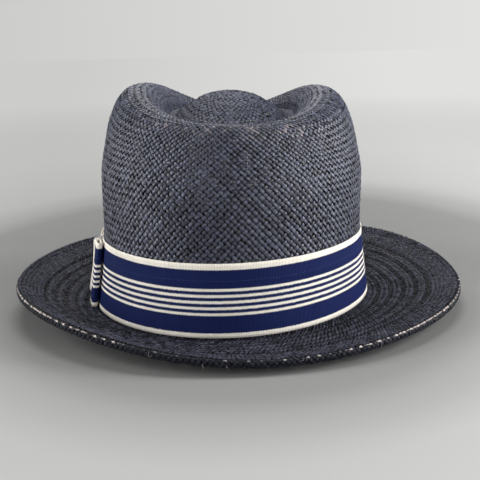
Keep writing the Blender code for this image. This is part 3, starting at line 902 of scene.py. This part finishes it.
def make_frays():
    """Loose fibres that stick out of the rim, most of them at the back."""
    random = np.random.default_rng(75)
    rings, sides = 7, 4
    angle = np.radians(np.concatenate([random.uniform(70, 150, FRAYS - 8), random.uniform(-180, 180, 8)]))
    length = random.uniform(1.6, 4.5, (FRAYS, 1)) * MM
    out, down = random.uniform(0.3, 1.0, (FRAYS, 1)), random.uniform(-0.3, 0.9, (FRAYS, 1))
    side = random.normal(0, 0.7, (FRAYS, 1))
    run = np.linspace(0, 1, rings)
    foot = foot_ring(BRIM_WIDTH - 0.3 * MM, rim_height(angle) - random.uniform(0.2, 3.0, FRAYS) * MM, angle)
    along_rim = np.stack([-np.sin(angle), np.cos(angle), 0 * angle], -1)
    heading = unit(outward(angle) * out + along_rim * side - UP * down)
    curl = UP * random.uniform(-0.6, 0.6, (FRAYS, 1))
    middle = foot[:, None] + length[..., None] * (heading[:, None] * run[:, None]
                                                  + curl[:, None] * run[:, None] ** 2)
    lengthwise = unit(np.gradient(middle, axis=1))
    first = unit(np.cross(lengthwise, np.array([0.3, 0.2, 1.0])))
    second = np.cross(lengthwise, first)
    turn = full_turn(sides)[:, None]
    radius = FRAY_RADIUS * (1 - 0.75 * run)[:, None, None]
    ring = np.cos(turn) * first[:, :, None] + np.sin(turn) * second[:, :, None]
    points = middle[:, :, None] + radius * ring
    values = {label: np.full(points[..., 0].size, value)
              for label, value in (("lift", 1.0), ("tone", 0.6), ("worn", 0.62))}
    return [tube_object("rim_frays", points, RIM_STRAW, run * length / MM, values=values, caps=(True, True))]


STRAW_PIECES = make_straw()
RIM_PIECES = make_rim() + make_frays()

# ------------------------------ ribbon

BAND_RIBS = 664
BAND_ROWS = 25
CREASE_HEIGHT = 0.30 * MM
SOFT_WAVE = 0.16 * MM
SELVAGE_SCALLOP = 0.0022       # share of the width


def make_band():
    """The ribbon round the crown, with its ribs, its selvages and a few soft wrinkles."""
    columns = 2 * BAND_RIBS
    angle = full_turn(columns)
    widths = np.linspace(0, 1, BAND_ROWS)
    share = widths[:, None] + 0 * angle
    wrinkles = wander(np.random.default_rng(90), (3, columns), 90)
    fold = CREASE_HEIGHT * bell(share, CREASE_SHARE + 0.01 * wrinkles[0], 0.020) * (0.6 + 0.4 * wrinkles[1])
    soft = SOFT_WAVE * np.sin(3 * angle + 9 * share) * np.sin(math.pi * share) * (1 + wrinkles[2])
    scallop = SELVAGE_SCALLOP * np.where(np.arange(columns) % 2, 1, -1) * (np.abs(share - 0.5) > 0.49)
    scallop = scallop * np.sign(share - 0.5)
    thickness = 0.7 * RIBBON_THICKNESS
    depth = CLEARANCE + thickness / 2 + fold + np.maximum(soft, 0)
    middle = wall_point(angle, np.clip(share + scallop, 0, 1.004), depth)
    return strip_object("ribbon_band_cloth", middle, thickness, RIBBON, widths, closed=True, ribs=0.06 * MM)


LOOP_ROWS = 21
LOOP_PLEATS = 0.55 * MM
LOOP_BELLY = 0.5 * MM
BOW_THICKNESS = 0.6 * MM


def bow_path(columns):
    """Evenly spaced places along one loop of the bow: distance from the middle, and depth."""
    free_from = KNOT_HALF_WIDTH + CLEARANCE
    along = np.concatenate([[BOW_START], np.linspace(free_from, BOW_REACH, 24)])
    puff = smooth_step(along, free_from, KNOT_HALF_WIDTH * 2.6)
    outer = LAYER_OUT + BOW_PUFF * puff
    inner = LAYER_IN - BOW_PUFF * puff * 0.7
    radius = (outer[-1] - inner[-1]) / 2
    turn = np.linspace(math.pi / 2, -math.pi / 2, 17)[1:-1]
    path = np.stack([np.concatenate([along, along[-1] + radius * np.cos(turn), along[::-1]]),
                     np.concatenate([outer, outer[-1] - radius + radius * np.sin(turn), inner[::-1]])], 1)
    length = run_along(path)
    even = np.linspace(0, length[-1], columns)
    return np.interp(even, length, path[:, 0]), np.interp(even, length, path[:, 1]), length[-1]


def make_bow_loop(name, side):
    """One loop of the side bow, gathered into soft pleats under the knot."""
    along, depth, length = bow_path(2 * round(bow_path(2)[2] / (RIB_PITCH * MM)) + 1)
    trim = BOW_GATHER + (BOW_TRIM - BOW_GATHER) * smooth_step(along, KNOT_HALF_WIDTH, BOW_REACH * 0.6)
    widths = np.linspace(0, 1, LOOP_ROWS)
    share = trim + (1 - 2 * trim) * widths[:, None]
    near_knot = bell(along, KNOT_HALF_WIDTH, 9 * MM) * smooth_step(along, 4 * MM, 8 * MM)
    outer = np.arange(len(along)) < len(along) / 2
    pleats = LOOP_PLEATS * near_knot * np.sin(math.tau * 2.5 * widths[:, None]) * np.where(outer, 1, -0.2)
    belly = LOOP_BELLY * np.sin(math.pi * widths[:, None]) * smooth_step(along, 12 * MM, 30 * MM) * outer
    middle = wall_point(side * along / FOOT_HALF_LENGTH, share, depth + pleats + belly)
    if side < 0:
        middle = middle[:, ::-1]
    loop = strip_object(name, middle, BOW_THICKNESS, RIBBON, widths, ribs=0.05 * MM, atlas_rows=2)
    return loop


KNOT_COLUMNS = 25
KNOT_CORNER = 1.3 * MM
KNOT_PLEATS = 0.25 * MM
KNOT_ROLL = 0.6 * MM           # how far the wrap's selvages lie back
KNOT_BULGE = 1.9 * MM


def make_knot():
    """The wrap round the bow's middle, drawn in at its waist, with its selvages rolled back."""
    gathered = RIBBON_WIDTH * (1 - 2 * BOW_GATHER)
    half_height = gathered / 2 + CLEARANCE + RIBBON_THICKNESS / 2
    half_depth = (KNOT_FRONT - KNOT_BACK) / 2
    steps = 2 * round(2 * (half_height + half_depth) / (RIB_PITCH * MM))
    path = []
    for quarter, (depth_sign, height_sign) in enumerate(((1, 1), (-1, 1), (-1, -1), (1, -1))):
        for turn in np.linspace(quarter, quarter + 1, 9) * (math.pi / 2):
            path.append((depth_sign * (half_depth - KNOT_CORNER) + KNOT_CORNER * math.cos(turn),
                         height_sign * (half_height - KNOT_CORNER) + KNOT_CORNER * math.sin(turn)))
    path = np.array(path + path[:1])
    length = run_along(path)
    even = np.linspace(0, length[-1], 2 * steps, endpoint=False)
    depth = np.interp(even, length, path[:, 0])
    height = np.interp(even, length, path[:, 1])
    widths = np.linspace(0, 1, KNOT_COLUMNS)
    across = (2 * widths - 1)[:, None]
    front = smooth_step(depth, 0.0, half_depth)
    waist = 1 - 0.24 * bell(height, -2 * MM, 8 * MM) * front
    flare = 1 + 0.10 * smooth_step(-height, 4 * MM, 15 * MM) * front
    along = KNOT_HALF_WIDTH * across * (waist * flare)
    rolled = -KNOT_ROLL * smooth_step(np.abs(across), 0.60, 1.0) * front
    bulge = KNOT_BULGE * (1 - across ** 2) * front * (0.6 + 0.4 * np.abs(height) / half_height)
    pleats = KNOT_PLEATS * np.sin(3.5 * math.pi * across) * front
    place = (KNOT_FRONT + KNOT_BACK) / 2 + depth + rolled + bulge + pleats
    middle = wall_point(along / FOOT_HALF_LENGTH, 0.5 + height / RIBBON_WIDTH, place)
    knot = strip_object("bow_knot_wrap", middle, BOW_THICKNESS, KNOT_RIBBON, widths, closed=True,
                        ribs=0.04 * MM, atlas_rows=1)
    return knot


BAND = make_band()
BACK_LOOP = make_bow_loop("bow_back_loop_ribbon", 1)
FRONT_LOOP = make_bow_loop("bow_front_loop_ribbon", -1)
KNOT = make_knot()

# ------------------------------ lining

LINING_COLUMNS = 256
LINING_RIPPLE = 0.25 * MM
LINING_BOW_DEPTH = SWEATBAND_THICKNESS + 3 * CLEARANCE + LINING_BOW_THICKNESS * 2 + LINING_BOW_PUFF


def make_sweatband():
    bottom = TAPE_HEIGHT + CLEARANCE
    widths = np.linspace(0, 1, 17)
    height = bottom + (SWEATBAND_TOP - bottom) * widths[:, None]
    column = np.arange(LINING_COLUMNS)
    ripple = LINING_RIPPLE * (1 + wander(np.random.default_rng(95), (1, LINING_COLUMNS), 16))
    ripple = ripple * widths[:, None] ** 2 * np.minimum(1, np.minimum(column, column[::-1]) / 16)
    middle = lining_point(full_turn(LINING_COLUMNS), height, SWEATBAND_THICKNESS / 2 + ripple)
    return strip_object("sweatband_leather", middle, SWEATBAND_THICKNESS, LEATHER, widths, closed=True)


def make_tape():
    sides = 12
    angle = full_turn(LINING_COLUMNS)
    middle = lining_point(angle, TAPE_HEIGHT, SWEATBAND_THICKNESS) + outward(angle) * (TAPE_WIDTH / 2)
    middle[:, 2] = TAPE_HEIGHT / 2
    across, up = squared_circle(-full_turn(sides), 0.35)
    points = middle[:, None] + (outward(angle)[:, None] * (across * TAPE_WIDTH / 2)[:, None]
                                + UP * (up * TAPE_HEIGHT / 2)[:, None])
    along = run_along(np.concatenate([middle, middle[:1]]))[None] / MM
    return tube_object("sweatband_tape_cloth", points[None], TAPE, along, closed=True, atlas_rows=8)


STITCHES = 168
STITCH_SHARE = 0.72            # of the way from one stitch to the next


def make_stitches():
    """Thread along the foot of the sweatband: separate stitches that rise from the leather and go back in."""
    rings, sides = 9, 6
    run = np.linspace(-STITCH_SHARE / 2, STITCH_SHARE / 2, rings)
    angle = full_turn(STITCHES)[:, None] + run * (math.tau / STITCHES)
    rise = 1 - (run / run[-1]) ** 2
    middle = lining_point(angle, STITCH_HEIGHT, SWEATBAND_THICKNESS + STITCH_RADIUS * (1.9 * rise - 0.7))
    inward = unit(np.cross(unit(np.gradient(middle, axis=1)), UP))
    turn = full_turn(sides)[:, None]
    points = middle[:, :, None] + STITCH_RADIUS * (np.cos(turn) * UP - np.sin(turn) * inward[:, :, None])
    along = np.arange(rings) * 0.35 + np.arange(STITCHES)[:, None]
    return tube_object("sweatband_thread", points, THREAD, along, caps=(True, True))


def make_lining_bow():
    """The small bow at the back of the sweatband: one long flat loop drawn in under its knot."""
    turn = full_turn(96)
    along = LINING_BOW_REACH * np.cos(turn)
    puff = LINING_BOW_THICKNESS * 1.1 + (LINING_BOW_PUFF - LINING_BOW_THICKNESS) * np.abs(np.cos(turn))
    depth = LINING_BOW_DEPTH + squared_circle(turn, 0.5)[1] * puff
    widths = np.linspace(0, 1, 13)
    waist = 1 - 0.42 * bell(along, 0, 3.2 * MM)
    lift = (widths[:, None] - 0.5) * LINING_BOW_WIDTH * waist
    place = math.pi / 2 + along / FOOT_HALF_WIDTH
    middle = lining_point(place, LINING_BOW_HEIGHT + lift, depth)
    return strip_object("sweatband_bow_ribbon", middle, LINING_BOW_THICKNESS * 0.7, LINING_RIBBON, widths,
                        closed=True, atlas_rows=2)


def make_lining_knot():
    depth, height = squared_circle(-full_turn(40), 0.6)
    depth *= LINING_BOW_THICKNESS * 2.1 + CLEARANCE
    height *= LINING_BOW_WIDTH / 2 * 0.72
    widths = np.linspace(0, 1, 9)
    across = (2 * widths - 1)[:, None]
    bulge = 0.35 * MM * (1 - across ** 2) * np.sign(depth)
    place = math.pi / 2 + LINING_KNOT_HALF_WIDTH * across / FOOT_HALF_WIDTH
    middle = lining_point(place, LINING_BOW_HEIGHT + height, LINING_BOW_DEPTH + depth + bulge)
    return strip_object("sweatband_bow_wrap", middle, LINING_BOW_THICKNESS * 0.7, LINING_RIBBON, widths,
                        closed=True, atlas_rows=2)


SWEATBAND = make_sweatband()
TAPE_RING = make_tape()
STITCHING = make_stitches()
LINING_BOW = make_lining_bow()
LINING_KNOT = make_lining_knot()

# ------------------------------ rides and replaces

REPLACED = (
    (STRAW_PIECES, "straw_body", "straw"),
    (RIM_PIECES, "rim_edge", "straw_edge"),
    ([BAND], "ribbon_band", "ribbon"),
    ([BACK_LOOP], "bow_back_loop", "ribbon"),
    ([FRONT_LOOP], "bow_front_loop", "ribbon"),
    ([KNOT], "bow_knot", "ribbon"),
    ([SWEATBAND], "sweatband", "sweatband_leather"),
    ([TAPE_RING], "sweatband_tape", "tape"),
    ([STITCHING], "sweatband_stitching", "thread"),
    ([LINING_BOW], "sweatband_bow", "lining_ribbon"),
    ([LINING_KNOT], "sweatband_bow_knot", "lining_ribbon"),
)
BODY = next(iter(frame["bodies"]))
for pieces, node, slot in REPLACED:
    for piece in pieces:
        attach(piece, BODY)
        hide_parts(node)

# ------------------------------ the studio

FLOOR_RADIUS = 20.0
WALL_LIGHT = (0.68, 0.68, 0.665)
UPPER_WALL_LIGHT = (0.07, 0.07, 0.07)
CEILING_LIGHT = (0.20, 0.20, 0.20)
SIDE_SHADES = (-0.25, 0.25, 1.11, 0.89)        # painted light on the floor, and the studio's light: brighter on the wearer's right than on the left
# The floor's painted shadow by distance from the hat in metres, and the studio's light by height, each with
# its ends first
FLOOR_PAINTED_SHADOW = ((0.0, 0.19), (1.0, 0.55), (0.155, 0.20), (0.235, 0.225), (0.262, 0.29), (0.31, 0.37),
                (0.55, 0.47))
WALL_SHADES = ((0.0, WALL_LIGHT), (1.0, CEILING_LIGHT), (0.05, WALL_LIGHT), (0.21, UPPER_WALL_LIGHT),
               (0.50, UPPER_WALL_LIGHT))
LIGHTS = (
    # name       place                  size        watts
    ("left_box", (1.25, 0.15, 0.55), (0.6, 0.9), 15),
    ("right_box", (-1.25, 0.12, 0.55), (0.6, 0.9), 21),
    ("top_box", (0.0, -0.2, 1.5), (0.8, 0.6), 12),
    ("front_box", (0.1, -1.5, 1.3), (1.2, 0.8), 9),
    ("back_box", (-0.55, 1.6, 0.9), (1.2, 1.0), 14),
)
LIT_PLACE = Vector((0, 0, 0.08))
FLOOR_GLOW = (0.28, 1.6)       # the distances between which the floor's painted glow fades in to match the wall's light
PAINTED_SHADOW_MIDDLE = -0.05            # the painted shadow's middle lies 5 cm before the hat's
PAINTED_SHADOW_BEFORE = 0.6              # distances before it count this much, so the painted shadow reaches further there
PAINTED_SHADOW_BESIDE = (-0.2, 0.0, 1.0, 1.5)     # and from y = -0.2 to 0, distances to the side come to count 1.5 times


def make_floor():
    """A pale floor under soft light, painted darker towards the hat as a painted shadow, brighter on one side,
    and glowing further out to fade into the wall's light.
    """
    nodes = Nodes("floor", Roughness=0.7, Specular_IOR_Level=0.0)
    split = nodes.add("SeparateXYZ")
    nodes.put(nodes.place(), split.inputs[0])
    behind = nodes.minus(split.outputs[1], PAINTED_SHADOW_MIDDLE)
    long = nodes.math("MAXIMUM", behind, nodes.times(behind, -PAINTED_SHADOW_BEFORE))
    wide = nodes.times(split.outputs[0], nodes.range(split.outputs[1], *PAINTED_SHADOW_BESIDE))
    distance = nodes.math("SQRT", nodes.plus(nodes.times(wide, wide), nodes.times(long, long)))
    # painted shadow: the floor's colour is darker towards the hat
    shades = nodes.add("ValToRGB")
    set_ramp(shades.color_ramp, [(place, (shade, shade, shade * 0.985)) for place, shade in FLOOR_PAINTED_SHADOW])
    nodes.put(distance, shades.inputs[0])
    # painted light: the floor is painted brighter on one side, and further out it glows with the wall's light
    lit = nodes.range(nodes.math("DIVIDE", split.outputs[0], nodes.plus(distance, 0.6)), *SIDE_SHADES)
    far = nodes.range(distance, *FLOOR_GLOW)
    glow = nodes.times(far, nodes.minus(2.0, far))
    nodes.to_shader("Emission Color", WALL_LIGHT)
    nodes.to_shader("Emission Strength", nodes.times(glow, lit))
    colour = nodes.mix(nodes.times(lit, nodes.minus(1.0, glow)), (0, 0, 0), shades.outputs[0])
    speckle = nodes.noise(nodes.place(), 900.0)
    nodes.to_shader("Base Color", nodes.mix(nodes.times(speckle, 0.05), colour, (0.2, 0.2, 0.2)))
    corners = full_turn(96)
    points = np.stack([np.cos(corners), np.sin(corners), 0 * corners], 1) * FLOOR_RADIUS
    floor = mesh_object("floor", points, [np.arange(96)[None]], nodes.material)


def make_light(name, place, size, power):
    data = bpy.data.lights.new(name, "AREA")
    data.shape = "RECTANGLE"
    data.size, data.size_y = size
    data.energy = power
    light = bpy.data.objects.new(name, data)
    light.location = place
    light.rotation_euler = (LIT_PLACE - Vector(place)).to_track_quat("-Z", "Y").to_euler()
    bpy.context.scene.collection.objects.link(light)


def make_world():
    """A studio's far wall: bright behind the floor's far edge, and darker above it."""
    world = bpy.data.worlds.new("studio")
    world.use_nodes = True
    tree = world.node_tree
    split = tree.nodes.new("ShaderNodeSeparateXYZ")
    shades = tree.nodes.new("ShaderNodeValToRGB")
    lit = tree.nodes.new("ShaderNodeMapRange")
    for socket, value in zip(lit.inputs[1:], SIDE_SHADES):
        socket.default_value = value
    tree.links.new(tree.nodes.new("ShaderNodeTexCoord").outputs["Generated"], split.inputs[0])
    tree.links.new(split.outputs[0], lit.inputs[0])
    tree.links.new(split.outputs[2], shades.inputs[0])
    tree.links.new(shades.outputs[0], tree.nodes["Background"].inputs["Color"])
    tree.links.new(lit.outputs[0], tree.nodes["Background"].inputs["Strength"])
    set_ramp(shades.color_ramp, WALL_SHADES)
    bpy.context.scene.world = world


make_floor()
make_world()
for light in LIGHTS:
    make_light(*light)
bpy.context.scene.view_settings.view_transform = "Standard"
